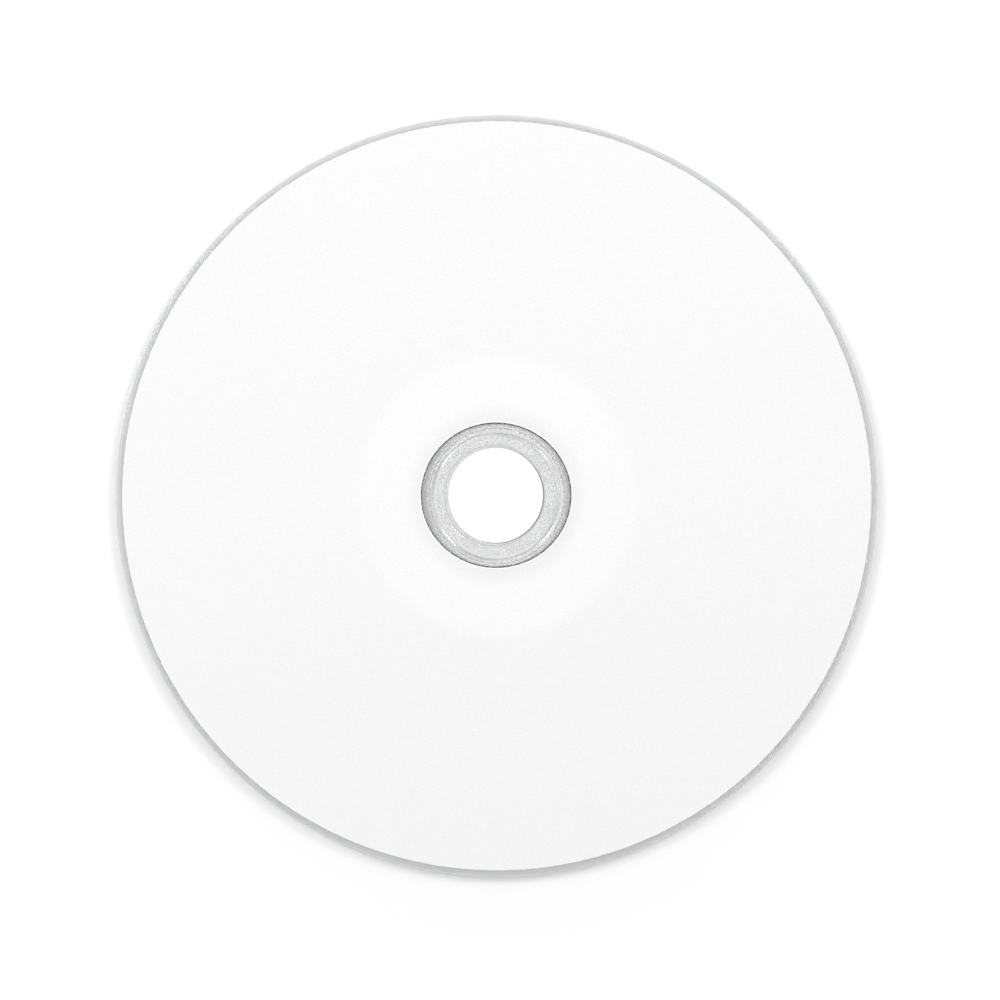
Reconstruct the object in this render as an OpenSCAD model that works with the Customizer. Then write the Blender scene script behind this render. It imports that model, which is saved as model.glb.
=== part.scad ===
// Recordable disc with a printable top face, 120 mm across and 1.2 mm thick.
// Two thin mouldings of clear plastic are glued together with a mirrored
// recording layer between them, and the upper one carries a white ink-receiving
// coating. The disc lies on its stacking ring with the printable face up.
// The origin is on the axis of the centre hole, in the plane it rests on.

/* [Disc] */
// Outer diameter of the disc
disc_d = 120; // [100:1:130]
// Diameter of the centre hole
hole_d = 15; // [14.5:0.05:16]
// Thickness of each moulded half
half_t = 0.575; // [0.5:0.005:0.7]
// Radius of the rounded edge round the rim of each outer face
rim_round = 0.2; // [0.1:0.02:0.3]
// Bevel of the centre hole's edge on each outer face
hole_bevel = 0.1; // [0.04:0.02:0.2]
// Bevel of each half where the two meet at the rim
seam_bevel = 0.06; // [0.02:0.02:0.1]

/* [Hub of the upper face] */
// Middle diameter of the ring groove round the centre hole
hub_groove_d = 19.9; // [17.5:0.1:20.5]
// Width of the ring groove at the surface
hub_groove_w = 0.4; // [0.3:0.05:0.8]
// Width of the ring groove's floor
hub_groove_floor_w = 0.1; // [0.05:0.05:0.25]
// Depth of the ring groove
hub_groove_depth = 0.08; // [0.04:0.02:0.14]

/* [Hub of the lower face] */
// Diameter of the shallow recess that the mould's bush leaves round the hole
bush_mark_d = 21.5; // [19:0.1:22]
// Depth of that recess
bush_mark_depth = 0.05; // [0.02:0.01:0.1]
// Width of the slope at the recess's edge
bush_mark_slope = 0.1; // [0.05:0.05:0.2]

/* [Stacking ring] */
// Middle diameter of the raised ring that the disc rests on
stack_ring_d = 35; // [34:0.1:36.5]
// Width of the ring's flat crest
stack_crest_w = 0.7; // [0.4:0.05:1]
// Height of the ring below the lower face
stack_ring_h = 0.2; // [0.1:0.02:0.25]
// Width of the slope on each side of the crest
stack_slope_w = 0.3; // [0.15:0.05:0.5]

/* [Stamper groove] */
// Middle diameter of the groove that the stamper's holder leaves in each glued face
stamper_groove_d = 39; // [37.5:0.1:41]
// Width of the groove at the glued face
stamper_groove_w = 0.6; // [0.3:0.05:0.8]
// Depth of the groove
stamper_groove_depth = 0.1; // [0.05:0.01:0.15]

/* [Recording layer] */
// Inner diameter of the mirrored recording layer
mirror_in_d = 44; // [42.5:0.5:46]
// Clear margin between the recording layer and the rim
mirror_margin = 1.2; // [0.8:0.1:2]
// Thickness that stands for the dye and its metal film
mirror_t = 0.02; // [0.01:0.005:0.03]

/* [Adhesive] */
// Thickness of the adhesive between the two halves
bond_t = 0.05; // [0.04:0.005:0.08]
// Inner diameter of the adhesive
bond_in_d = 21; // [19:0.5:24]
// Margin between the adhesive and the rim
bond_margin = 0.14; // [0.12:0.02:0.3]

/* [Printable coating] */
// Inner diameter of the white coating
print_in_d = 23; // [22:0.5:46]
// Clear margin between the coating and the rim
print_margin = 1; // [0.5:0.1:2]
// Thickness of the coating
print_t = 0.04; // [0.02:0.005:0.06]
// Width over which the coating thins out at its two edges
print_feather = 0.06; // [0.02:0.02:0.1]

/* [Hidden] */
$fn = 180;

// How far a cutting shape reaches past the surface that it cuts
over = 1;
// How far a raised shape is rooted in the body that carries it
root = 0.1;

// Radii of the disc's edges and layers, and the width of the stamper groove's floor
disc_r = disc_d / 2;
hole_r = hole_d / 2;
bush_mark_r = bush_mark_d / 2;
mirror_in_r = mirror_in_d / 2;
mirror_out_r = disc_r - mirror_margin;
bond_in_r = bond_in_d / 2;
bond_out_r = disc_r - bond_margin;
print_in_r = print_in_d / 2;
print_out_r = disc_r - print_margin;
stamper_floor_w = stamper_groove_w - stamper_groove_depth;

// Heights above the plane that the disc rests on
lower_face_z = stack_ring_h;
lower_glued_z = lower_face_z + half_t;
upper_glued_z = lower_glued_z + bond_t;
upper_face_z = upper_glued_z + half_t;

// Turns a section drawn as [radius, height] into a ring round the hole's axis
module turned() rotate_extrude() children();

// Rectangle of a section, from one radius and height to another
module band(r_from, r_to, z_from, z_to)
    translate([r_from, z_from]) square([r_to - r_from, z_to - z_from]);

// Trapezium of a section, wide on the line z = 0 and narrow at the given height
module tapered_band(middle_r, foot_w, crest_w, height)
    polygon([
        [middle_r - foot_w / 2, 0],
        [middle_r + foot_w / 2, 0],
        [middle_r + crest_w / 2, height],
        [middle_r - crest_w / 2, height],
    ]);

// Groove with sloping walls, cut downwards from the line z = 0
module groove(middle_r, width, floor_w, depth) {
    tapered_band(middle_r, width, floor_w, -depth);
    band(middle_r - width / 2, middle_r + width / 2, 0, over);
}

// What a round of the given radius takes off a corner that points to +r and +z
module corner_round(corner_r, corner_z, radius)
    translate([corner_r - radius, corner_z - radius])
        difference() {
            square(radius + over);
            circle(radius);
        }

// What a bevel takes off a corner, which points outwards if out = 1 and inwards if out = -1
module corner_bevel(corner_r, corner_z, size, out)
    polygon([
        [corner_r - out * size, corner_z],
        [corner_r - out * size, corner_z + over],
        [corner_r + out * over, corner_z + over],
        [corner_r + out * over, corner_z - size],
        [corner_r, corner_z - size],
    ]);

// Section of one moulded half, with its glued face on z = 0 and its outer face on z = half_t
module half_section()
    difference() {
        band(hole_r, disc_r, 0, half_t);
        corner_round(disc_r, half_t, rim_round);
        corner_bevel(hole_r, half_t, hole_bevel, -1);
        mirror([0, 1]) corner_bevel(disc_r, 0, seam_bevel, 1);
        mirror([0, 1]) stamper_groove_section();
    }

// Section of the stamper groove, cut downwards from a glued face on z = 0
module stamper_groove_section()
    groove(stamper_groove_d / 2, stamper_groove_w, stamper_floor_w, stamper_groove_depth);

// What the adhesive fills in one glued face's stamper groove, rooted in the layer below z = 0
module stamper_fill_section() {
    middle_r = stamper_groove_d / 2;
    tapered_band(middle_r, stamper_groove_w, stamper_floor_w, stamper_groove_depth);
    band(middle_r - stamper_floor_w / 2, middle_r + stamper_floor_w / 2, -bond_t / 2, stamper_groove_depth / 2);
}

// Lower half: clear, with the bush's recess round the hole and the stacking ring
module recording_half()
    color([0.86, 0.88, 0.9, 0.4])
        turned()
            difference() {
                union() {
                    translate([0, lower_glued_z]) mirror([0, 1]) half_section();
                    stacking_ring_section();
                }
                bush_mark_section();
                translate([0, lower_face_z + bush_mark_depth])
                    mirror([0, 1]) corner_bevel(hole_r, 0, hole_bevel, -1);
            }

// Section of the stacking ring, from its crest on z = 0 up into the lower half
module stacking_ring_section() {
    middle_r = stack_ring_d / 2;
    foot_w = stack_crest_w + 2 * stack_slope_w;
    tapered_band(middle_r, stack_crest_w, foot_w, stack_ring_h);
    band(middle_r - stack_crest_w / 2, middle_r + stack_crest_w / 2, stack_ring_h / 2, stack_ring_h + root);
}

// Section of the bush's recess, with a sloping edge
module bush_mark_section()
    polygon([
        [hole_r - over, lower_face_z - over],
        [bush_mark_r, lower_face_z - over],
        [bush_mark_r, lower_face_z],
        [bush_mark_r - bush_mark_slope, lower_face_z + bush_mark_depth],
        [hole_r - over, lower_face_z + bush_mark_depth],
    ]);

// Mirrored recording layer, lying on the lower half's glued face
module recording_layer()
    color([0.45, 0.36, 0.62])
        turned() band(mirror_in_r, mirror_out_r, lower_glued_z, lower_glued_z + mirror_t);

// Adhesive between the halves, which fills both stamper grooves and covers the recording layer
module bond_layer()
    color([0.9, 0.9, 0.86, 0.35])
        turned()
            difference() {
                union() {
                    band(bond_in_r, bond_out_r, lower_glued_z, upper_glued_z);
                    translate([0, upper_glued_z]) stamper_fill_section();
                    translate([0, lower_glued_z]) mirror([0, 1]) stamper_fill_section();
                }
                band(mirror_in_r, mirror_out_r, lower_glued_z - over, lower_glued_z + mirror_t);
            }

// Upper half: clear, with the ring groove round the hole
module label_half()
    color([0.88, 0.89, 0.9, 0.4])
        turned()
            difference() {
                translate([0, upper_glued_z]) half_section();
                translate([0, upper_face_z])
                    groove(hub_groove_d / 2, hub_groove_w, hub_groove_floor_w, hub_groove_depth);
            }

// White ink-receiving coating on the upper half, thinned out at both edges
module print_coating()
    color([0.96, 0.96, 0.95])
        turned()
            translate([0, upper_face_z])
                polygon([
                    [print_in_r, 0],
                    [print_out_r, 0],
                    [print_out_r - print_feather, print_t],
                    [print_in_r + print_feather, print_t],
                ]);

recording_half();
recording_layer();
bond_layer();
label_half();
print_coating();
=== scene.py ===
"""Looks of a recordable disc with a white printable face.

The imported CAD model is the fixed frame. Each piece of the laminate is turned again here on the
CAD radii and heights, with rounded edges, a wavy adhesive edge and a raised print edge, and gets
its own procedural finish. A soft studio and an overhead camera come last.
"""
import logging
import math
from dataclasses import dataclass, replace
from enum import IntEnum
from typing import ClassVar, Mapping, Sequence

import bpy
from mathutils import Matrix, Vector, noise


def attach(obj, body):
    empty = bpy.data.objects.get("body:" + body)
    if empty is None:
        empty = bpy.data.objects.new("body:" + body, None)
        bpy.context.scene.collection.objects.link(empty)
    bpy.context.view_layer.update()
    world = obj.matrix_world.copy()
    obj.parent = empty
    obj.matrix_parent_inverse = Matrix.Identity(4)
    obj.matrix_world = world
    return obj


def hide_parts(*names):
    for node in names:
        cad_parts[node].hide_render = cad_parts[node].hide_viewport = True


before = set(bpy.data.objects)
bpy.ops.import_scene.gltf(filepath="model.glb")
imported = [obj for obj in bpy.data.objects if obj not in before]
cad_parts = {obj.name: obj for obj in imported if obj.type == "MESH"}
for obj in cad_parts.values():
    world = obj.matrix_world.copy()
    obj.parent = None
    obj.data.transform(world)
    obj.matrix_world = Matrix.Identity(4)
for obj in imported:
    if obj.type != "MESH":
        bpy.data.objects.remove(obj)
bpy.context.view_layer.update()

LOG = logging.getLogger("printable_disc")

Point = tuple[float, float, float]
Colour = tuple[float, float, float]
Output = bpy.types.NodeSocket
# What goes into a node's input: a number, a vector or colour, or another node's output
SocketValue = float | Sequence[float] | Output
Sockets = dict[str, SocketValue]

MM = 0.001
BODY = "root"
WHITE: Colour = (1.0, 1.0, 1.0)

# How far an opaque layer is sunk into the clear plastic that it coats, so that no faces coincide
SUNK = 0.005 * MM
# Gap between the floor and the crest that rests on it
FLOOR_GAP = 0.01 * MM
# Radii that leave a zone without an inner edge and without an outer edge
NO_INNER = -1.0
NO_OUTER = 1.0


@dataclass(frozen=True)
class RingExtent:
    """Inner and outer radius, and lowest and highest level, of a ring-shaped node, in metres."""

    inner: float
    outer: float
    low: float
    high: float

    @classmethod
    def of_node(cls, node: str) -> "RingExtent":
        """Measure a node of the frame.

        Args:
            node: Name of the CAD node.

        Returns:
            Its radii round the Z axis and its levels.
        """
        points = [v.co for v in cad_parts[node].data.vertices]
        radii = [p.xy.length for p in points]
        levels = [p.z for p in points]
        return cls(min(radii), max(radii), min(levels), max(levels))


@dataclass(frozen=True)
class EdgeWave:
    """How an edge departs from its true circle. Without arguments it doesn't.

    Args:
        amplitude: How far the edge wanders in and out, in metres.
        lobes: Roughly how many times it wanders in and out on its way round.
        seed: Picks one wander among many.
        shift: How far the edge is off centre, in metres.
        shift_bearing: Direction in degrees in which the shift makes the radius larger.
        oval: How far the edge reaches out along X and in along Y, in metres.
    """

    # The wander is two layers: how much finer the second is, and its share of the amplitude
    FINER: ClassVar[float] = 2.7
    FINER_SHARE: ClassVar[float] = 0.5

    amplitude: float = 0.0
    lobes: float = 1.0
    seed: float = 0.0
    shift: float = 0.0
    shift_bearing: float = 0.0
    oval: float = 0.0

    def offset(self, angle: float) -> float:
        """Return the departure at one place, which is the same after a full turn.

        Args:
            angle: Angle round the axis in radians.

        Returns:
            The departure in metres.
        """
        reach = self.lobes / math.tau
        at = Vector((math.cos(angle) * reach, math.sin(angle) * reach, self.seed))
        layers = noise.noise(at) + self.FINER_SHARE * noise.noise(at * self.FINER)
        slip = self.shift * math.cos(angle - math.radians(self.shift_bearing))
        return self.amplitude * layers + slip + self.oval * math.cos(2 * angle)


# The coating's inner edge: printed a little oval and off centre, with a ragged line
PRINT_EDGE = EdgeWave(0.035 * MM, 150, 11.3, shift=0.14 * MM, shift_bearing=137, oval=0.21 * MM)


@dataclass(frozen=True)
class Corner:
    """One corner of a turned section.

    Args:
        radius: Distance from the axis, in metres.
        level: Height above the resting plane, in metres.
        face: Index of the finish on the stretch that leaves this corner.
        blend: Radius of the round on the corner, 0 for a sharp one.
        wave: How the corner's radius changes round the disc.
    """

    radius: float
    level: float
    face: int = 0
    blend: float = 0.0
    wave: EdgeWave = EdgeWave()


@dataclass(frozen=True)
class Spot:
    """A point of the finished outline, placed as a corner is.

    Args:
        radius: Distance from the axis.
        level: Height above the resting plane.
        normal: Outward normal as (radial, vertical).
        corner: The corner that the spot belongs to.
        joined: Whether the next spot is the other side of the same sharp corner.
    """

    radius: float
    level: float
    normal: tuple[float, float]
    corner: Corner
    joined: bool = False


def new_object(name: str, data: bpy.types.ID) -> bpy.types.Object:
    """Make an object and link it to the scene.

    Args:
        name: Name of the object.
        data: Its mesh, light or camera.

    Returns:
        The new object.
    """
    made = bpy.data.objects.new(name, data)
    bpy.context.scene.collection.objects.link(made)
    return made


class TurnedSection:
    """Closed outline in the plane of radius and level, which is turned into a ring."""

    ARC_STEP = math.radians(15)

    def __init__(self, corners: Sequence[Corner]) -> None:
        """Keep the corners.

        Args:
            corners: Corners anticlockwise, so that the solid is on the left of the way round.
        """
        self.corners = list(corners)

    def _rounded(self, corner: Corner, way_in: Vector, way_out: Vector) -> list[Spot]:
        """Return the spots that stand for one corner.

        Args:
            corner: The corner.
            way_in: Unit direction of the stretch that reaches it.
            way_out: Unit direction of the stretch that leaves it.

        Returns:
            Two spots in one place for a sharp corner, or the spots of its arc.
        """
        place = Vector((corner.radius, corner.level))
        if corner.blend <= 0:
            return [
                Spot(place.x, place.y, (way.y, -way.x), corner, joined)
                for way, joined in ((way_in, True), (way_out, False))
            ]
        turn = math.atan2(way_in.x * way_out.y - way_in.y * way_out.x, way_in.dot(way_out))
        reach = corner.blend * math.tan(abs(turn) / 2)
        start = place - way_in * reach
        side = math.copysign(1.0, turn)
        centre = start + Vector((-way_in.y, way_in.x)) * corner.blend * side
        steps = max(2, math.ceil(abs(turn) / self.ARC_STEP))
        heading = math.atan2(way_in.y, way_in.x)
        spots = []
        for step in range(steps + 1):
            along = heading + turn * step / steps
            outward = Vector((math.sin(along), -math.cos(along)))
            at = centre + outward * corner.blend * side
            spots.append(Spot(at.x, at.y, tuple(outward), corner))
        return spots

    def _outline(self) -> list[Spot]:
        """Return the spots of the whole section, in order."""
        places = [Vector((corner.radius, corner.level)) for corner in self.corners]
        ways = [(b - a).normalized() for a, b in zip(places, places[1:] + places[:1])]
        outline = []
        for corner, way_in, way_out in zip(self.corners, ways[-1:] + ways, ways):
            outline += self._rounded(corner, way_in, way_out)
        return outline

    @staticmethod
    def _rings(outline: Sequence[Spot], angles: Sequence[float]) -> tuple[list[Point], list[int]]:
        """Return the vertices that the spots leave on their way round.

        Args:
            outline: Spots of the section in order.
            angles: Angles round the axis in radians.

        Returns:
            The vertices, and the index of the first one of each spot.
        """
        vertices, starts = [], []
        for before, spot in zip([outline[-1], *outline], outline):
            if before.joined:
                starts.append(starts[-1])
                continue
            starts.append(len(vertices))
            for angle in angles:
                radius = spot.radius + spot.corner.wave.offset(angle)
                vertices.append((radius * math.cos(angle), radius * math.sin(angle), spot.level))
        return vertices, starts

    def turned(
        self, name: str, steps: int, finishes: Sequence[bpy.types.Material]
    ) -> bpy.types.Object:
        """Turn the section into a ring with exact normals.

        Args:
            name: Name of the piece.
            steps: How many facets go round.
            finishes: Materials in the order of the corners' face indices.

        Returns:
            The new object, linked to the scene.
        """
        outline = self._outline()
        angles = [math.tau * step / steps for step in range(steps)]
        turns = [(math.cos(angle), math.sin(angle)) for angle in angles]
        vertices, starts = self._rings(outline, angles)
        polygons, slots, normals = [], [], []
        for index, spot in enumerate(outline):
            if spot.joined:
                continue
            after = (index + 1) % len(outline)
            for step in range(steps):
                beside = (step + 1) % steps
                loop = ((index, step), (index, beside), (after, beside), (after, step))
                polygons.append([starts[end] + turn for end, turn in loop])
                slots.append(spot.corner.face)
                for end, turn in loop:
                    (cos, sin), (out, up) = turns[turn], outline[end].normal
                    normals.append((out * cos, out * sin, up))
        mesh = bpy.data.meshes.new(name)
        mesh.from_pydata(vertices, [], polygons)
        for finish in finishes:
            mesh.materials.append(finish)
        mesh.polygons.foreach_set("material_index", slots)
        mesh.polygons.foreach_set("use_smooth", [True] * len(polygons))
        mesh.normals_split_custom_set(normals)
        mesh.update()
        return new_object(name, mesh)


class Wiring:
    """Adds nodes to one node tree and feeds their inputs."""

    def __init__(self, tree: bpy.types.NodeTree) -> None:
        """Keep the node tree of a material, world or group."""
        self.tree = tree

    def add(self, kind: str, **settings: object) -> bpy.types.Node:
        """Add a node.

        Args:
            kind: Node type, without its ShaderNode prefix.
            **settings: Properties of the node to set.

        Returns:
            The new node.
        """
        node = self.tree.nodes.new("ShaderNode" + kind)
        for key, value in settings.items():
            setattr(node, key, value)
        return node

    def feed(self, socket: bpy.types.NodeSocket, value: SocketValue) -> None:
        """Link an output to an input, or set the input's own value.

        Args:
            socket: The input.
            value: Output socket, number, vector, or colour as red, green and blue.
        """
        if isinstance(value, Output):
            self.tree.links.new(value, socket)
        elif socket.type == "RGBA":
            socket.default_value = (*value, 1.0)
        else:
            socket.default_value = value

    def feed_all(self, node: bpy.types.Node, values: Mapping[str, SocketValue]) -> None:
        """Feed several inputs of a node.

        Args:
            node: The node.
            values: What goes in, by the input's name.
        """
        for name, value in values.items():
            self.feed(node.inputs[name], value)

    def maths(self, operation: str, *values: SocketValue, clamp: bool = False) -> Output:
        """Add a Math node.

        Args:
            operation: Its operation.
            *values: What goes into each of its inputs.
            clamp: Whether the result is kept between 0 and 1.

        Returns:
            Its output.
        """
        node = self.add("Math", operation=operation, use_clamp=clamp)
        for socket, value in zip(node.inputs, values):
            self.feed(socket, value)
        return node.outputs[0]

    def ramp(
        self,
        value: SocketValue,
        start: SocketValue,
        end: SocketValue,
        least: float = 0.0,
        kind: str = "LINEAR",
    ) -> Output:
        """Add a ramp that ends at 1.

        Args:
            value: What runs along the ramp.
            start: Value at which the ramp starts.
            end: Value at which the ramp ends.
            least: Result up to the start.
            kind: Interpolation of the Map Range node.

        Returns:
            Its output.
        """
        node = self.add("MapRange", interpolation_type=kind)
        self.feed_all(node, {"Value": value, "From Min": start, "From Max": end, "To Min": least})
        return node.outputs["Result"]

    def blend(self, share: Output, first: SocketValue, second: SocketValue) -> Output:
        """Mix two colours.

        Args:
            share: How much of the second, from 0 to 1.
            first: Colour at share 0.
            second: Colour at share 1.

        Returns:
            The mixed colour.
        """
        node = self.add("Mix", data_type="RGBA")
        self.feed(node.inputs["Factor"], share)
        for name, value in (("A", first), ("B", second)):
            socket = next(s for s in node.inputs if s.name == name and s.type == "RGBA")
            self.feed(socket, value)
        return next(s for s in node.outputs if s.type == "RGBA")


def new_group(name: str, inputs: Sequence[str], outputs: Mapping[str, str]) -> Wiring:
    """Make an empty shader node group with named sockets.

    Args:
        name: Name of the group.
        inputs: Names of the numbers that go in.
        outputs: Socket type of each result, by its name.

    Returns:
        The wiring of its tree, with Group Input and Group Output nodes in place.
    """
    tree = bpy.data.node_groups.new(name, "ShaderNodeTree")
    for label in inputs:
        tree.interface.new_socket(label, in_out="INPUT", socket_type="NodeSocketFloat")
    for label, kind in outputs.items():
        tree.interface.new_socket(label, in_out="OUTPUT", socket_type=kind)
    tree.nodes.new("NodeGroupInput")
    tree.nodes.new("NodeGroupOutput")
    return Wiring(tree)


class SharedEffects:
    """Node groups that several finishes use, each built once."""

    RING = "ring_zone"
    GRAIN = "fine_grain"
    # The grain's two clouds, fine and coarse: noise detail, and how many times coarser than a grain
    CLOUDS = ((3.0, 1.0), (2.0, 9.0))
    # Stretch of the speck's range over which the crisp speck goes from 0 to 1
    CRISP_SPAN = (0.47, 0.53)

    @classmethod
    def ring_zone(cls) -> bpy.types.NodeTree:
        """Return the group whose mask is 1 between two radii round the axis, and 0 elsewhere."""
        made = bpy.data.node_groups.get(cls.RING)
        if made:
            return made
        inputs = ("Inner radius", "Outer radius", "Soft width", "Shift X", "Shift Y", "Oval")
        wiring = new_group(cls.RING, inputs, {"Mask": "NodeSocketFloat"})
        given = wiring.tree.nodes["Group Input"].outputs
        axes = wiring.add("SeparateXYZ")
        wiring.feed(axes.inputs[0], wiring.add("TexCoord").outputs["Object"])
        squares = []
        for axis, sign in (("X", -1.0), ("Y", 1.0)):
            along = wiring.maths("SUBTRACT", axes.outputs[axis], given["Shift " + axis])
            stretch = wiring.maths("MULTIPLY_ADD", given["Oval"], sign, 1.0)
            squares.append(wiring.maths("POWER", wiring.maths("MULTIPLY", along, stretch), 2.0))
        radius = wiring.maths("SQRT", wiring.maths("ADD", *squares))
        half = wiring.maths("MULTIPLY", given["Soft width"], 0.5)
        minus_half = wiring.maths("MULTIPLY", half, -1.0)
        shares = []
        for bound, sign in (("Inner radius", 1.0), ("Outer radius", -1.0)):
            past = wiring.maths("MULTIPLY", wiring.maths("SUBTRACT", radius, given[bound]), sign)
            shares.append(wiring.ramp(past, minus_half, half, kind="SMOOTHSTEP"))
        mask = wiring.maths("MULTIPLY", *shares)
        wiring.feed(wiring.tree.nodes["Group Output"].inputs["Mask"], mask)
        return wiring.tree

    @classmethod
    def fine_grain(cls) -> bpy.types.NodeTree:
        """Return the group for a grain: a soft speck, a crisp one from 0 to 1, a bumped normal."""
        made = bpy.data.node_groups.get(cls.GRAIN)
        if made:
            return made
        number, vector = "NodeSocketFloat", "NodeSocketVector"
        results = {"Speck": number, "Crisp speck": number, "Normal": vector}
        wiring = new_group(cls.GRAIN, ("Grain size", "Depth", "Mottle"), results)
        given = wiring.tree.nodes["Group Input"].outputs
        place = wiring.add("TexCoord").outputs["Object"]
        scale = wiring.maths("DIVIDE", 1.0, given["Grain size"])
        layers = []
        for detail, coarser in cls.CLOUDS:
            cloud = wiring.add("TexNoise")
            size = wiring.maths("DIVIDE", scale, coarser)
            wiring.feed_all(cloud, {"Vector": place, "Scale": size, "Detail": detail})
            layers.append(cloud.outputs["Fac"])
        mixed = wiring.add("Mix", data_type="FLOAT")
        wiring.feed_all(mixed, {"Factor": given["Mottle"], "A": layers[0], "B": layers[1]})
        speck = mixed.outputs["Result"]
        bump = wiring.add("Bump")
        wiring.feed_all(bump, {"Strength": 1.0, "Distance": given["Depth"], "Height": speck})
        crisp = wiring.ramp(speck, *cls.CRISP_SPAN)
        wiring.feed_all(
            wiring.tree.nodes["Group Output"],
            {"Speck": speck, "Crisp speck": crisp, "Normal": bump.outputs["Normal"]},
        )
        return wiring.tree


@dataclass(frozen=True)
class Zone:
    """Ring-shaped part of a surface.

    Args:
        fade: Width of the fade at each edge in metres.
        inner: Inner radius in metres.
        outer: Outer radius in metres.
        wave: Edge whose shift and oval the zone follows.
    """

    fade: float
    inner: float = NO_INNER
    outer: float = NO_OUTER
    wave: EdgeWave = EdgeWave()


@dataclass(frozen=True)
class Grain:
    """Fine grain of a finish.

    Args:
        size: Size of one grain in metres.
        depth: Depth of its relief in metres.
        mottle: Share of the coarser clouding, from 0 to 1.
    """

    size: float
    depth: float
    mottle: float


class FinishWiring(Wiring):
    """Wiring of a material, which can place the shared effects."""

    def zone(self, zone: Zone) -> Output:
        """Place the ring zone group.

        Args:
            zone: The zone.

        Returns:
            Its mask.
        """
        wave, bearing = zone.wave, math.radians(zone.wave.shift_bearing)
        group = self.add("Group", node_tree=SharedEffects.ring_zone())
        values = {
            "Inner radius": zone.inner,
            "Outer radius": zone.outer,
            "Soft width": zone.fade,
            "Shift X": wave.shift * math.cos(bearing),
            "Shift Y": wave.shift * math.sin(bearing),
            "Oval": wave.oval / zone.outer,
        }
        self.feed_all(group, values)
        return group.outputs["Mask"]

    def grain(self, grain: Grain) -> bpy.types.bpy_prop_collection:
        """Place the grain group.

        Args:
            grain: The grain.

        Returns:
            The group's outputs: Speck, Crisp speck and Normal.
        """
        group = self.add("Group", node_tree=SharedEffects.fine_grain())
        values = {"Grain size": grain.size, "Depth": grain.depth, "Mottle": grain.mottle}
        self.feed_all(group, values)
        return group.outputs


def paler(colour: Colour, step: float) -> Colour:
    """Return a colour with each channel a step higher, up to 1."""
    return tuple(min(1.0, channel + step) for channel in colour)


def see_through(index: float, roughness: float) -> Sockets:
    """Return the plain sockets of a clear surface of some refractive index and roughness."""
    return {"Metallic": 0.0, "Transmission Weight": 1.0, "IOR": index, "Roughness": roughness}


class Finish:
    """A material with one Principled shader, which the subclasses dress."""

    name: ClassVar[str] = "finish"

    def build(self) -> bpy.types.Material:
        """Return the material, made on the first call."""
        made = bpy.data.materials.get(self.name)
        if made:
            return made
        material = bpy.data.materials.new(self.name)
        material.use_nodes = True
        wiring = FinishWiring(material.node_tree)
        wiring.feed_all(material.node_tree.nodes["Principled BSDF"], self.sockets(wiring))
        return material

    def sockets(self, wiring: FinishWiring) -> Sockets:
        """Wire what changes over the surface.

        Args:
            wiring: The material's wiring.

        Returns:
            What goes into the shader's own sockets, by their names.
        """
        raise NotImplementedError


@dataclass(frozen=True)
class ClearPolycarbonate(Finish):
    """Clear moulded polycarbonate, polished by the mould."""

    name = "clear_polycarbonate"
    tint: Colour = (0.974, 0.974, 0.974)
    clouding: float = 0.02
    index: float = 1.585
    roughness: float = 0.015
    grain: Grain = Grain(0.35 * MM, 0.0004 * MM, 0.5)

    def sockets(self, wiring: FinishWiring) -> Sockets:
        """Clear plastic with a hint of clouding."""
        grain = wiring.grain(self.grain)
        cloudy = paler(self.tint, self.clouding)
        colour = wiring.blend(grain["Speck"], self.tint, cloudy)
        plain = see_through(self.index, self.roughness)
        return plain | {"Base Color": colour, "Normal": grain["Normal"]}


@dataclass(frozen=True)
class SatinPolycarbonate(ClearPolycarbonate):
    """The walls of the hub's groove and step, a little duller than the face around them."""

    name = "satin_polycarbonate"
    roughness: float = 0.12


@dataclass(frozen=True)
class PaintedHoleShade(Finish):
    """Painted shade on the lower hole bevel: near black, in place of the shadowed hole wall."""

    name = "painted_hole_shade"
    dark: Colour = (0.01, 0.01, 0.01)
    pale: Colour = (0.12, 0.12, 0.12)
    roughness: float = 0.55
    grain: Grain = Grain(0.12 * MM, 0.004 * MM, 0.2)

    def sockets(self, wiring: FinishWiring) -> Sockets:
        """Painted shade: near black with a fine grain."""
        grain = wiring.grain(self.grain)
        return {
            "Metallic": 0.0,
            "Roughness": self.roughness,
            "Base Color": wiring.blend(grain["Crisp speck"], self.dark, self.pale),
            "Normal": grain["Normal"],
        }


@dataclass(frozen=True)
class DarkerRing(Zone):
    """A darker ring in a ground face.

    Args:
        depth: How much it darkens, from 0 to 1.
    """

    depth: float = 1.0


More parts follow.
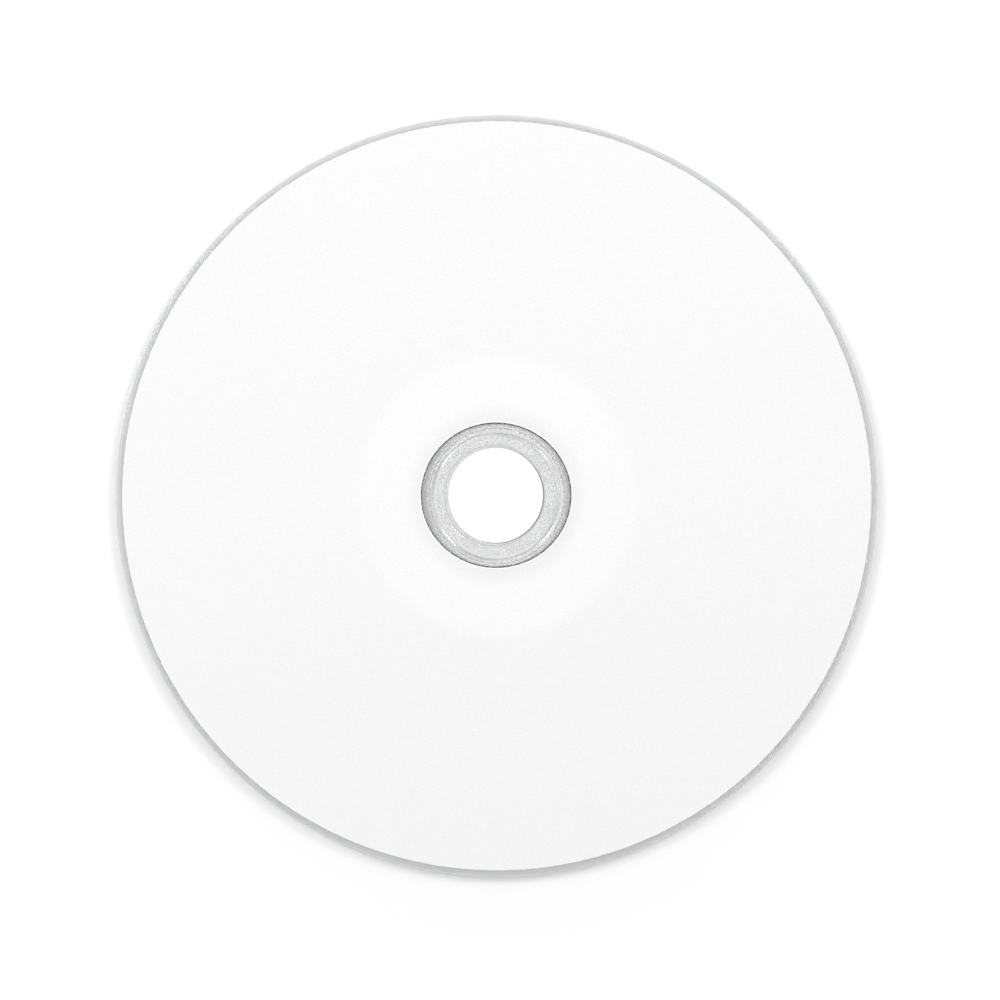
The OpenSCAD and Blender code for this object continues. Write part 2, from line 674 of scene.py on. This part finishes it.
@dataclass(frozen=True)
class GroundPolycarbonate(Finish):
    """The finely ground face that the mould's bush leaves round the hole.

    Args:
        calm: Zone in which the speckle is weaker.
        calm_share: How much of the speckle is gone there.
        calm_level: Level from 0 to 1 that takes the speckle's place.
        rings: Darker rings in the face, the second one painted shade below the hub groove.
    """

    name = "ground_polycarbonate"
    dark: Colour = (0.036, 0.034, 0.032)
    pale: Colour = (1.0, 0.94, 0.88)
    index: float = 1.585
    roughness: float = 0.2
    grain: Grain = Grain(0.27 * MM, 0.002 * MM, 0.15)
    calm: Zone = Zone(0.2 * MM, 9.5 * MM, 10.4 * MM)
    calm_share: float = 0.7
    calm_level: float = 0.78
    rings: tuple[DarkerRing, ...] = (
        DarkerRing(0.1 * MM, 7.76 * MM, 8.04 * MM, EdgeWave(shift=0.39 * MM, shift_bearing=175)),
        # Painted shade: an off-centre dark line below the hub groove
        DarkerRing(
            0.1 * MM, 9.82 * MM, 10.06 * MM, EdgeWave(shift=0.50 * MM, shift_bearing=205), 0.8
        ),
        DarkerRing(0.1 * MM, 10.62 * MM, 10.76 * MM, depth=0.8),
    )

    def sockets(self, wiring: FinishWiring) -> Sockets:
        """Frosted clear plastic with a speckle and darker rings, one of them painted shade."""
        grain = wiring.grain(self.grain)
        speck = grain["Crisp speck"]
        calm = wiring.maths("MULTIPLY", wiring.zone(self.calm), self.calm_share)
        towards = wiring.maths("SUBTRACT", self.calm_level, speck)
        clear = wiring.maths("MULTIPLY_ADD", calm, towards, speck)
        for ring in self.rings:
            darker = wiring.maths("MULTIPLY", wiring.zone(ring), ring.depth)
            clear = wiring.maths("SUBTRACT", clear, darker, clamp=True)
        colour = wiring.blend(clear, self.dark, self.pale)
        plain = see_through(self.index, self.roughness)
        return plain | {"Base Color": colour, "Normal": grain["Normal"]}


@dataclass(frozen=True)
class BondedPolycarbonate(Finish):
    """A glued face, where the plastic meets adhesive of nearly its own refractive index."""

    name = "bonded_polycarbonate"
    tint: Colour = (0.97, 0.97, 0.965)
    index_step: float = 1.045
    grain: Grain = Grain(0.6 * MM, 0.0, 0.5)

    def sockets(self, wiring: FinishWiring) -> Sockets:
        """Nearly invisible, with a faint clouding where the adhesive wets the face."""
        colour = wiring.blend(wiring.grain(self.grain)["Speck"], self.tint, WHITE)
        return see_through(self.index_step, roughness=0.0) | {"Base Color": colour}


@dataclass(frozen=True)
class CuredAdhesive(Finish):
    """Clear cured adhesive between the halves.

    Args:
        milk: How much of the view it covers everywhere, from 0 to 1.
        coating_edge_shade: Zone below the coating's inner edge, made murkier as painted shade of
            the coating.
        patches: Least part of the cover there, which the grain adds to.
        adhesive_shadow_line: Zone of the dark broken line along the coating's inner edge, a painted
            shadow.
        ring_line: Zone of the faint line where the painted shade starts.
    """

    name = "cured_adhesive"
    # Dark grey, so that where the cover grows it paints shade
    colour: Colour = (0.34, 0.34, 0.33)
    clouding: float = 0.1
    roughness: float = 0.35
    grain: Grain = Grain(0.30 * MM, 0.0, 0.15)
    milk: float = 0.03
    # Painted shade: the cover grows below the coating's inner edge
    coating_edge_shade: Zone = Zone(0.4 * MM, 10.95 * MM, 11.75 * MM)
    coating_edge_shade_milk: float = 0.22
    patches: float = 0.5
    # Painted shadow: a dark broken line along the coating's inner edge
    adhesive_shadow_line: Zone = Zone(0.06 * MM, 11.36 * MM, 11.80 * MM, PRINT_EDGE)
    adhesive_shadow_milk: float = 0.90
    ring_line: Zone = Zone(0.06 * MM, 10.66 * MM, 10.80 * MM)
    ring_milk: float = 0.22

    def sockets(self, wiring: FinishWiring) -> Sockets:
        """Almost clear, with painted shade below the coating's inner edge and along it."""
        grain = wiring.grain(self.grain)
        # Painted shade below the coating's inner edge, and a painted shadow line along it
        patchy = wiring.maths("ADD", grain["Crisp speck"], self.patches)
        uneven = wiring.maths("MULTIPLY", wiring.zone(self.coating_edge_shade), patchy)
        shaded_cover = wiring.maths("MULTIPLY_ADD", uneven, self.coating_edge_shade_milk, self.milk)
        ringed = wiring.maths("MULTIPLY_ADD", wiring.zone(self.ring_line), self.ring_milk, shaded_cover)
        broken = wiring.maths("MULTIPLY", wiring.zone(self.adhesive_shadow_line), grain["Speck"])
        cloudy = paler(self.colour, self.clouding)
        return {
            "Metallic": 0.0,
            "Roughness": self.roughness,
            "Alpha": wiring.maths("MULTIPLY_ADD", broken, self.adhesive_shadow_milk, ringed, clamp=True),
            "Base Color": wiring.blend(grain["Speck"], self.colour, cloudy),
        }


@dataclass(frozen=True)
class DyedMirror(Finish):
    """The recording layer: a sputtered mirror seen through violet dye, with bare edges.

    Args:
        inner: Inner radius of the layer in metres.
        outer: Outer radius of the layer in metres.
        bare_edge: Width of the bare metal along each edge.
        bare_fade: Width over which the dye ends there.
        spread: How much the grain adds to the roughness.
    """

    name = "dyed_mirror"
    inner: float
    outer: float
    silver: Colour = (0.82, 0.83, 0.85)
    violet: Colour = (0.36, 0.27, 0.60)
    indigo: Colour = (0.27, 0.24, 0.62)
    bare_edge: float = 0.35 * MM
    bare_fade: float = 0.08 * MM
    anisotropy: float = 0.75
    roughness: float = 0.10
    spread: float = 0.08
    grain: Grain = Grain(0.8 * MM, 0.0, 0.7)

    def sockets(self, wiring: FinishWiring) -> Sockets:
        """Anisotropic metal, coloured by radius."""
        around = wiring.add("Tangent", direction_type="RADIAL", axis="Z")
        dyed = Zone(self.bare_fade, self.inner + self.bare_edge, self.outer - self.bare_edge)
        outward = Zone(self.outer - self.inner, (self.inner + self.outer) / 2)
        dye = wiring.blend(wiring.zone(outward), self.violet, self.indigo)
        speck = wiring.grain(self.grain)["Speck"]
        return {
            "Metallic": 1.0,
            "Anisotropic": self.anisotropy,
            "Tangent": around.outputs["Tangent"],
            "Base Color": wiring.blend(wiring.zone(dyed), self.silver, dye),
            "Roughness": wiring.maths("MULTIPLY_ADD", speck, self.spread, self.roughness),
        }


@dataclass(frozen=True)
class InkCoating(Finish):
    """Matt white coating that takes ink.

    Args:
        inner: Inner radius of the coating in metres.
        mirror_inner: Radius in metres at which the mirror starts below the coating.
        edge_shade_colour: Colour that it fades to towards its inner edge, painted shade round the
            hub.
        thin_edge_shadow: Colour of the thin, broken line along that edge, a painted shadow of the
            edge.
        breaks: Stretch of the grain's range over which the line breaks up.
        least_line: How much of the line is left in a break.
        spread: How much the grain adds to the roughness.
        speckle: How much the grain changes the brightness.
    """

    name = "ink_coating"
    inner: float
    mirror_inner: float
    over_clear: Colour = (0.960, 0.960, 0.960)
    over_mirror: Colour = (0.932, 0.932, 0.932)
    edge_shade_colour: Colour = (0.890, 0.890, 0.890)
    # Painted highlight: a paler ring on the bead just outside the dark edge line
    bead: Colour = (0.990, 0.990, 0.990)
    thin_edge_shadow: Colour = (0.03, 0.03, 0.03)
    step_width: float = 2.2 * MM
    edge_fade: float = 3.6 * MM
    bead_width: float = 0.20 * MM
    bead_fade: float = 0.1 * MM
    line_width: float = 0.16 * MM
    line_fade: float = 0.04 * MM
    breaks: tuple[float, float] = (0.42, 0.52)
    least_line: float = 0.6
    specular: float = 0.08
    roughness: float = 0.68
    spread: float = 0.2
    speckle: float = 0.045
    grain: Grain = Grain(0.20 * MM, 0.010 * MM, 0.08)

    def sockets(self, wiring: FinishWiring) -> Sockets:
        """Matt white with a fine grain and a faint change of tone over the mirror's edge.

        Near its inner edge it carries painted shade, a painted shadow line and a painted highlight.
        """
        grain = wiring.grain(self.grain)
        mirrored = wiring.zone(Zone(self.step_width, self.mirror_inner))
        tone = wiring.blend(mirrored, self.over_clear, self.over_mirror)
        # Painted shade: darker towards the inner edge round the hub
        past_edge = wiring.zone(Zone(self.edge_fade, self.inner + self.edge_fade / 2))
        tone = wiring.blend(past_edge, self.edge_shade_colour, tone)
        line_end = self.inner + self.line_width
        bead_end = line_end + self.bead_width
        # Painted highlight on the bead just outside the dark line
        bead_highlight_zone = wiring.zone(Zone(self.bead_fade, outer=bead_end, wave=PRINT_EDGE))
        tone = wiring.blend(bead_highlight_zone, tone, self.bead)
        # Painted shadow: a thin, broken dark line along the inner edge
        thin = wiring.zone(Zone(self.line_fade, outer=line_end, wave=PRINT_EDGE))
        broken = wiring.ramp(grain["Speck"], *self.breaks, self.least_line)
        tone = wiring.blend(wiring.maths("MULTIPLY", thin, broken), tone, self.thin_edge_shadow)
        darkest = 1 - self.speckle / 2
        shade = wiring.add("VectorMath", operation="SCALE")
        wiring.feed(shade.inputs[0], tone)
        wiring.feed(
            shade.inputs["Scale"],
            wiring.maths("MULTIPLY_ADD", grain["Crisp speck"], self.speckle, darkest),
        )
        return {
            "Metallic": 0.0,
            "Specular IOR Level": self.specular,
            "Base Color": shade.outputs[0],
            "Roughness": wiring.maths("MULTIPLY_ADD", grain["Speck"], self.spread, self.roughness),
            "Normal": grain["Normal"],
        }


class HalfFace(IntEnum):
    """The kinds of surface on a clear half, in the order of its material slots."""

    POLISHED = 0
    BONDED = 1
    GROUND = 2
    # Painted shade on the lower hole bevel
    CUT = 3
    SATIN = 4


# The finish of each kind of surface
HALF_FINISHES: dict[HalfFace, Finish] = {
    HalfFace.POLISHED: ClearPolycarbonate(),
    HalfFace.BONDED: BondedPolycarbonate(),
    HalfFace.GROUND: GroundPolycarbonate(),
    HalfFace.CUT: PaintedHoleShade(),
    HalfFace.SATIN: SatinPolycarbonate(),
}


@dataclass(frozen=True)
class Laminate:
    """Radii and levels that the pieces share, measured from the frame."""

    recording: RingExtent
    mirror: RingExtent
    bond: RingExtent
    label: RingExtent
    coating: RingExtent
    rim_round: float = 0.2 * MM
    hole_bevel: float = 0.1 * MM
    seam_bevel: float = 0.06 * MM
    stamper_groove_r: float = 19.5 * MM
    stamper_groove_w: float = 0.6 * MM
    stamper_groove_depth: float = 0.1 * MM
    bond_wave: EdgeWave = EdgeWave(0.09 * MM, 26, 3.7)

    @classmethod
    def measured(cls) -> "Laminate":
        """Return the laminate of the frame."""
        nodes = ("recording_half", "recording_layer", "bond_layer", "label_half", "print_coating")
        return cls(*(RingExtent.of_node(node) for node in nodes))

    def glued_face(self, level: float, depth: float, outward: bool) -> list[Corner]:
        """Return the corners of a glued face, from one edge of the adhesive to the other.

        Args:
            level: Level of the face.
            depth: How far the stamper groove goes from it, upwards if positive.
            outward: Whether the corners run from the hole to the rim.

        Returns:
            The corners in running order. The stretch after the last one isn't glued.
        """
        middle, half_w = self.stamper_groove_r, self.stamper_groove_w / 2
        wall = abs(depth) / 2
        run = [
            Corner(self.bond.inner, level, wave=self.bond_wave),
            Corner(middle - half_w, level),
            Corner(middle - half_w + wall, level + depth),
            Corner(middle + half_w - wall, level + depth),
            Corner(middle + half_w, level),
            Corner(self.bond.outer, level),
        ]
        if not outward:
            run.reverse()
        return [replace(corner, face=HalfFace.BONDED) for corner in run[:-1]] + run[-1:]


@dataclass(frozen=True)
class LaminatePiece:
    """A ring-shaped piece of the disc, whose subclasses give its section."""

    name: ClassVar[str] = "piece"
    steps: ClassVar[int] = 360
    laminate: Laminate

    def corners(self) -> list[Corner]:
        """Return the section's corners, anticlockwise from the lower inner edge."""
        raise NotImplementedError

    def build(self, finishes: Sequence[bpy.types.Material]) -> bpy.types.Object:
        """Turn the piece.

        Args:
            finishes: Materials in the order of the corners' face indices.

        Returns:
            The piece that stands for the CAD node.
        """
        return TurnedSection(self.corners()).turned(self.name, self.steps, finishes)


@dataclass(frozen=True)
class RecordingHalf(LaminatePiece):
    """Lower clear moulding, with the bush's recess and the stacking ring.

    Args:
        hole_slip: How the hole's lower edge lies off centre.
        hole_shade_slip: How the outer edge of the painted hole shade lies off centre.
        hole_shade_margin: How far the painted hole shade reaches past the hole's bevel.
    """

    name = "recording_half_clear"
    bush_mark_r: float = 10.75 * MM
    bush_mark_depth: float = 0.05 * MM
    bush_mark_slope: float = 0.1 * MM
    stack_ring_r: float = 17.5 * MM
    stack_crest_w: float = 0.7 * MM
    stack_slope_w: float = 0.3 * MM
    stack_ring_h: float = 0.2 * MM
    small_round: float = 0.03 * MM
    ring_round: float = 0.12 * MM
    hole_slip: EdgeWave = EdgeWave(shift=0.24 * MM, shift_bearing=155)
    hole_shade_slip: EdgeWave = EdgeWave(shift=0.17 * MM, shift_bearing=155)
    hole_shade_margin: float = 0.06 * MM

    def corners(self) -> list[Corner]:
        """Return the section's corners, anticlockwise from the hole's lower edge."""
        lam, small, ring = self.laminate, self.small_round, self.ring_round
        hole, rim = lam.recording.inner, lam.recording.outer
        rest, glued = lam.recording.low, lam.recording.high
        face, bevel = rest + self.stack_ring_h, hole + lam.hole_bevel
        recess = face + self.bush_mark_depth
        middle, crest = self.stack_ring_r, self.stack_crest_w / 2
        foot = crest + self.stack_slope_w
        under = [
            # The hole's bevel and a thin margin past it carry painted shade, near black
            Corner(bevel, recess, HalfFace.CUT, small, self.hole_slip),
            Corner(bevel + self.hole_shade_margin, recess, HalfFace.GROUND, wave=self.hole_shade_slip),
            Corner(self.bush_mark_r - self.bush_mark_slope, recess, HalfFace.GROUND, small),
            Corner(self.bush_mark_r, face, blend=small),
            Corner(middle - foot, face, blend=ring),
            Corner(middle - crest, rest, blend=ring),
            Corner(middle + crest, rest, blend=ring),
            Corner(middle + foot, face, blend=ring),
            Corner(rim, face, blend=lam.rim_round),
            Corner(rim, glued - lam.seam_bevel, blend=small),
            Corner(rim - lam.seam_bevel, glued, blend=small / 2),
        ]
        hole_side = [
            Corner(hole, glued, blend=small, wave=self.hole_slip),
            Corner(hole, recess + lam.hole_bevel, HalfFace.CUT, small, self.hole_slip),
        ]
        return under + lam.glued_face(glued, -lam.stamper_groove_depth, outward=False) + hole_side


@dataclass(frozen=True)
class LabelHalf(LaminatePiece):
    """Upper clear moulding, with the fine ring groove and the low step of its hub."""

    name = "label_half_clear"
    hub_groove_r: float = 9.95 * MM
    hub_groove_w: float = 0.4 * MM
    hub_groove_floor_w: float = 0.1 * MM
    hub_groove_depth: float = 0.08 * MM
    small_round: float = 0.03 * MM
    hole_round: float = 0.16 * MM
    groove_lip: float = 0.04 * MM
    groove_fillet: float = 0.08 * MM
    step_r: float = 8.19 * MM
    step_depth: float = 0.014 * MM
    step_slope: float = 0.026 * MM
    step_slip: EdgeWave = EdgeWave(shift=0.39 * MM, shift_bearing=175)

    def corners(self) -> list[Corner]:
        """Return the section's corners, anticlockwise from the hole's lower edge."""
        lam, small, satin = self.laminate, self.small_round, HalfFace.SATIN
        hole, rim = lam.label.inner, lam.label.outer
        face, glued = lam.label.high, lam.label.low
        middle, floor = self.hub_groove_r, face - self.hub_groove_depth
        half_w, half_floor = self.hub_groove_w / 2, self.hub_groove_floor_w / 2
        lowered = face - self.step_depth
        bevel = hole + lam.hole_bevel - self.step_depth
        above = [
            Corner(rim - lam.seam_bevel, glued, blend=small / 2),
            Corner(rim, glued + lam.seam_bevel, blend=small),
            Corner(rim, face, blend=lam.rim_round),
            Corner(middle + half_w, face, satin, self.groove_lip),
            Corner(middle + half_floor, floor, satin, self.groove_fillet),
            Corner(middle - half_floor, floor, satin, self.groove_fillet),
            Corner(middle - half_w, face, blend=self.groove_lip),
            Corner(self.step_r, face, satin, wave=self.step_slip),
            Corner(self.step_r - self.step_slope, lowered, wave=self.step_slip),
            Corner(bevel, lowered, blend=self.hole_round),
            Corner(hole, face - lam.hole_bevel, blend=small),
        ]
        below = lam.glued_face(glued, lam.stamper_groove_depth, outward=True)
        return [Corner(hole, glued, blend=small)] + below + above


@dataclass(frozen=True)
class BondLayer(LaminatePiece):
    """Cured adhesive, with a wavy meniscus and fillings in both stamper grooves."""

    name = "bond_layer_clear"
    meniscus: float = 0.02 * MM

    def corners(self) -> list[Corner]:
        """Return the section's corners, anticlockwise from the lower inner edge."""
        lam = self.laminate
        low, high = lam.recording.high, lam.label.low
        lower = lam.glued_face(low, -lam.stamper_groove_depth, outward=True)
        upper = lam.glued_face(high, lam.stamper_groove_depth, outward=False)
        hollow = Corner(lam.bond.inner + self.meniscus, (low + high) / 2, wave=lam.bond_wave)
        return [replace(corner, face=0) for corner in lower + upper + [hollow]]


@dataclass(frozen=True)
class RecordingLayer(LaminatePiece):
    """Mirrored layer, sunk a little into the recording half's glued face."""

    name = "recording_layer_mirror"

    def corners(self) -> list[Corner]:
        """Return the section's corners, anticlockwise from the lower inner edge."""
        ring = self.laminate.mirror
        low, high = ring.low - SUNK, ring.high
        places = ((ring.inner, low), (ring.outer, low), (ring.outer, high), (ring.inner, high))
        return [Corner(radius, level, blend=SUNK / 2) for radius, level in places]


@dataclass(frozen=True)
class PrintCoating(LaminatePiece):
    """White coating, with ragged edges and a low bead where each edge dried.

    Args:
        bead_height: How far the bead stands above the field.
        bead_place: Distance from the edge at which the bead starts to fall.
        bead_width: Distance from the edge at which the bead meets the field.
        shoulder: Width and height of the rounded edge.
    """

    name = "print_coating_white"
    steps = 1080
    bead_height: float = 0.004 * MM
    bead_place: float = 0.12 * MM
    bead_width: float = 0.5 * MM
    shoulder: float = 0.03 * MM
    inner_wave: EdgeWave = PRINT_EDGE
    outer_wave: EdgeWave = EdgeWave(0.045 * MM, 420, 5.9)

    def corners(self) -> list[Corner]:
        """Return the section's corners, anticlockwise from the lower inner edge."""
        ring = self.laminate.coating
        bottom, top, shoulder = ring.low - SUNK, ring.high, self.shoulder
        fall, foot = self.bead_width / 8, self.bead_width / 4
        inner, outer = self.inner_wave, self.outer_wave
        return [
            Corner(ring.inner, bottom, wave=inner),
            Corner(ring.outer, bottom, wave=outer),
            Corner(ring.outer, top - shoulder, blend=shoulder / 3, wave=outer),
            Corner(ring.outer - shoulder, top, blend=shoulder, wave=outer),
            Corner(ring.outer - self.bead_place, top, blend=fall, wave=outer),
            Corner(ring.outer - self.bead_width, top - self.bead_height, blend=foot),
            Corner(ring.inner + self.bead_width, top - self.bead_height, blend=foot),
            Corner(ring.inner + self.bead_place, top, blend=fall, wave=inner),
            Corner(ring.inner + shoulder, top, blend=shoulder, wave=inner),
            Corner(ring.inner, top - shoulder, blend=shoulder / 3, wave=inner),
        ]


def seen(wiring: Wiring, *kinds: str) -> Output:
    """Return 1 for rays of the given kinds and 0 for others.

    Args:
        wiring: Wiring of the material or world.
        *kinds: Names of Light Path outputs.

    Returns:
        The result.
    """
    path = wiring.add("LightPath")
    share = path.outputs[kinds[0]]
    for kind in kinds[1:]:
        share = wiring.maths("MAXIMUM", share, path.outputs[kind])
    return share


@dataclass(frozen=True)
class PaleFloor(Finish):
    """Floor that is pale to the lamps and white to the camera, with shade below the disc.

    Below the hub and the hole it carries painted light, and painted shade under the coating.

    Args:
        tone: Brightness of the floor.
        shade: Zone that the disc shades.
        shade_glow: What is left there of the floor's own light, of which 1 shows as white.
        hub: Zone below the clear hub: painted light, fading to painted shade under the coating.
        hub_painted_light: The floor's painted light there, which stands in for light through the
            hub.
        hub_tone: Brightness of the floor there, kept low under the painted light.
        hole: Zone below the centre hole, where painted light shows white in place of shadow.
    """

    name = "pale_floor"
    tone: float = 0.90
    shade: Zone = Zone(30.0 * MM, outer=84.0 * MM)
    shade_glow: float = 0.12
    # Painted light below the hub, fading to painted shade under the coating, and below the hole
    hub: Zone = Zone(1.7 * MM, outer=11.25 * MM, wave=EdgeWave(oval=-0.28 * MM))
    hub_painted_light: float = 1.20
    hub_tone: float = 0.10
    hole: Zone = Zone(0.2 * MM, outer=7.5 * MM)

    def sockets(self, wiring: FinishWiring) -> Sockets:
        """Matt floor with its own light, and open to views from below."""
        shown = seen(wiring, "Is Camera Ray", "Is Glossy Ray", "Is Transmission Ray")
        hub = wiring.zone(self.hub)
        shade = wiring.zone(self.shade)
        glow = wiring.maths("MULTIPLY_ADD", shade, self.shade_glow - 1.0, 1.0)
        # Painted light: the hub and hole zones set the floor's glow, in place of light and shadow
        for zone, level in ((hub, self.hub_painted_light), (wiring.zone(self.hole), 1.0)):
            change = wiring.maths("MULTIPLY", zone, wiring.maths("SUBTRACT", level, glow))
            glow = wiring.maths("ADD", glow, change)
        open_below = wiring.add("MixShader")
        backface = wiring.add("NewGeometry").outputs["Backfacing"]
        matt = wiring.tree.nodes["Principled BSDF"].outputs[0]
        clear = wiring.add("BsdfTransparent").outputs[0]
        for socket, value in zip(open_below.inputs, (backface, matt, clear)):
            wiring.feed(socket, value)
        wiring.feed_all(wiring.tree.nodes["Material Output"], {"Surface": open_below.outputs[0]})
        return {
            "Roughness": 1.0,
            "Specular IOR Level": 0.0,
            "Base Color": wiring.blend(hub, (self.tone,) * 3, (self.hub_tone,) * 3),
            "Emission Color": WHITE,
            "Emission Strength": wiring.maths("MULTIPLY", shown, glow),
        }


@dataclass(frozen=True)
class Lamp:
    """A soft round lamp that points at the disc.

    Args:
        name: Name of the lamp.
        bearing: Direction it stands in, in degrees anticlockwise from +X.
        elevation: Height above the floor as an angle in degrees.
        distance: Distance from the disc in metres.
        diameter: Diameter of the lamp in metres.
        share: Brightness that it gives a white surface that lies level.
    """

    name: str
    bearing: float
    elevation: float
    distance: float
    diameter: float
    share: float

    def build(self) -> None:
        """Add the lamp to the scene."""
        bearing, elevation = math.radians(self.bearing), math.radians(self.elevation)
        flat = math.cos(elevation)
        towards = Vector(
            (math.cos(bearing) * flat, math.sin(bearing) * flat, math.sin(elevation))
        )
        data = bpy.data.lights.new(self.name, "AREA")
        data.shape = "DISK"
        data.size = self.diameter
        # A level white face shows power * sin(elevation) / (pi * distance) ** 2 of such a lamp
        data.energy = self.share * math.pi**2 * self.distance**2 / math.sin(elevation)
        lamp = new_object(self.name, data)
        lamp.location = towards * self.distance
        lamp.rotation_mode = "QUATERNION"
        lamp.rotation_quaternion = towards.to_track_quat("Z", "Y")


@dataclass(frozen=True)
class Studio:
    """Pale floor, soft dome and two lamps."""

    floor_half: float = 8.0
    zenith: float = 0.45
    horizon: float = 1.0
    lamps: tuple[Lamp, ...] = (
        Lamp("key_lamp", bearing=143, elevation=38, distance=0.9, diameter=0.26, share=0.21),
        Lamp("side_lamp", bearing=41, elevation=38, distance=0.9, diameter=0.26, share=0.18),
    )

    def build_floor(self) -> None:
        """Add the floor, just below the crest that rests on it."""
        signs = ((-1, -1), (1, -1), (1, 1), (-1, 1))
        corners = [(x * self.floor_half, y * self.floor_half, -FLOOR_GAP) for x, y in signs]
        mesh = bpy.data.meshes.new("floor")
        mesh.from_pydata(corners, [], [range(len(corners))])
        mesh.materials.append(PaleFloor().build())
        floor = new_object("floor", mesh)

    def build_dome(self) -> None:
        """Light the scene from a dome that is white at the horizon and greyer overhead."""
        world = bpy.data.worlds.new("studio_dome")
        world.use_nodes = True
        wiring = Wiring(world.node_tree)
        axes = wiring.add("SeparateXYZ")
        wiring.feed(axes.inputs[0], wiring.add("TexCoord").outputs["Generated"])
        up = wiring.maths("MAXIMUM", axes.outputs["Z"], 0.0)
        dome = wiring.maths("MULTIPLY_ADD", up, self.zenith - self.horizon, self.horizon)
        level = wiring.maths("MAXIMUM", dome, seen(wiring, "Is Camera Ray"))
        background = world.node_tree.nodes["Background"]
        wiring.feed_all(background, {"Color": WHITE, "Strength": level})
        bpy.context.scene.world = world

    def build(self) -> None:
        """Add floor, dome and lamps."""
        self.build_floor()
        self.build_dome()
        for lamp in self.lamps:
            lamp.build()


@dataclass(frozen=True)
class OverheadCamera:
    """Camera that looks straight down and frames the disc as the photograph does."""

    picture_px: float = 1000.0
    hub_px: tuple[float, float] = (496.8, 495.8)
    px_per_mm: float = 6.35
    lens_mm: float = 100.0
    sensor_mm: float = 36.0
    clip: tuple[float, float] = (0.01, 20.0)

    def build(self, level: float) -> None:
        """Add the camera.

        Args:
            level: Height of the face that the scale holds for, in metres.
        """
        scale = MM / self.px_per_mm
        middle = self.picture_px / 2
        data = bpy.data.cameras.new("overhead_camera")
        data.lens = self.lens_mm
        data.sensor_width = self.sensor_mm
        data.clip_start, data.clip_end = self.clip
        camera = new_object("overhead_camera", data)
        camera.location = (
            (middle - self.hub_px[0]) * scale,
            (self.hub_px[1] - middle) * scale,
            level + self.picture_px * scale * self.lens_mm / self.sensor_mm,
        )
        bpy.context.scene.camera = camera


def place(piece: bpy.types.Object, node: str, slot: str) -> None:
    """Let a piece ride on the disc and stand for its CAD node.

    Args:
        piece: The finished piece.
        node: CAD node that it stands for.
        slot: The record's material slot; not used.
    """
    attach(piece, BODY)
    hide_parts(node)
    LOG.info("%s stands for %s, %d faces", piece.name, node, len(piece.data.polygons))


def main() -> None:
    """Build the disc, the studio and the camera."""
    logging.basicConfig(level=logging.INFO, format="%(name)s: %(message)s")
    laminate = Laminate.measured()
    mirror, coating = laminate.mirror, laminate.coating
    clear = [HALF_FINISHES[face].build() for face in HalfFace]
    adhesive = CuredAdhesive().build()
    dyed = DyedMirror(mirror.inner, mirror.outer).build()
    white = InkCoating(coating.inner, mirror.inner).build()
    place(RecordingHalf(laminate).build(clear), "recording_half", "clear_polycarbonate")
    place(LabelHalf(laminate).build(clear), "label_half", "clear_polycarbonate")
    place(BondLayer(laminate).build([adhesive]), "bond_layer", "clear_adhesive")
    place(RecordingLayer(laminate).build([dyed]), "recording_layer", "recording_mirror")
    place(PrintCoating(laminate).build([white]), "print_coating", "white_ink_coating")
    Studio().build()
    OverheadCamera().build(coating.high)
    bpy.context.scene.view_settings.view_transform = "Standard"


if __name__ == "__main__":
    main()
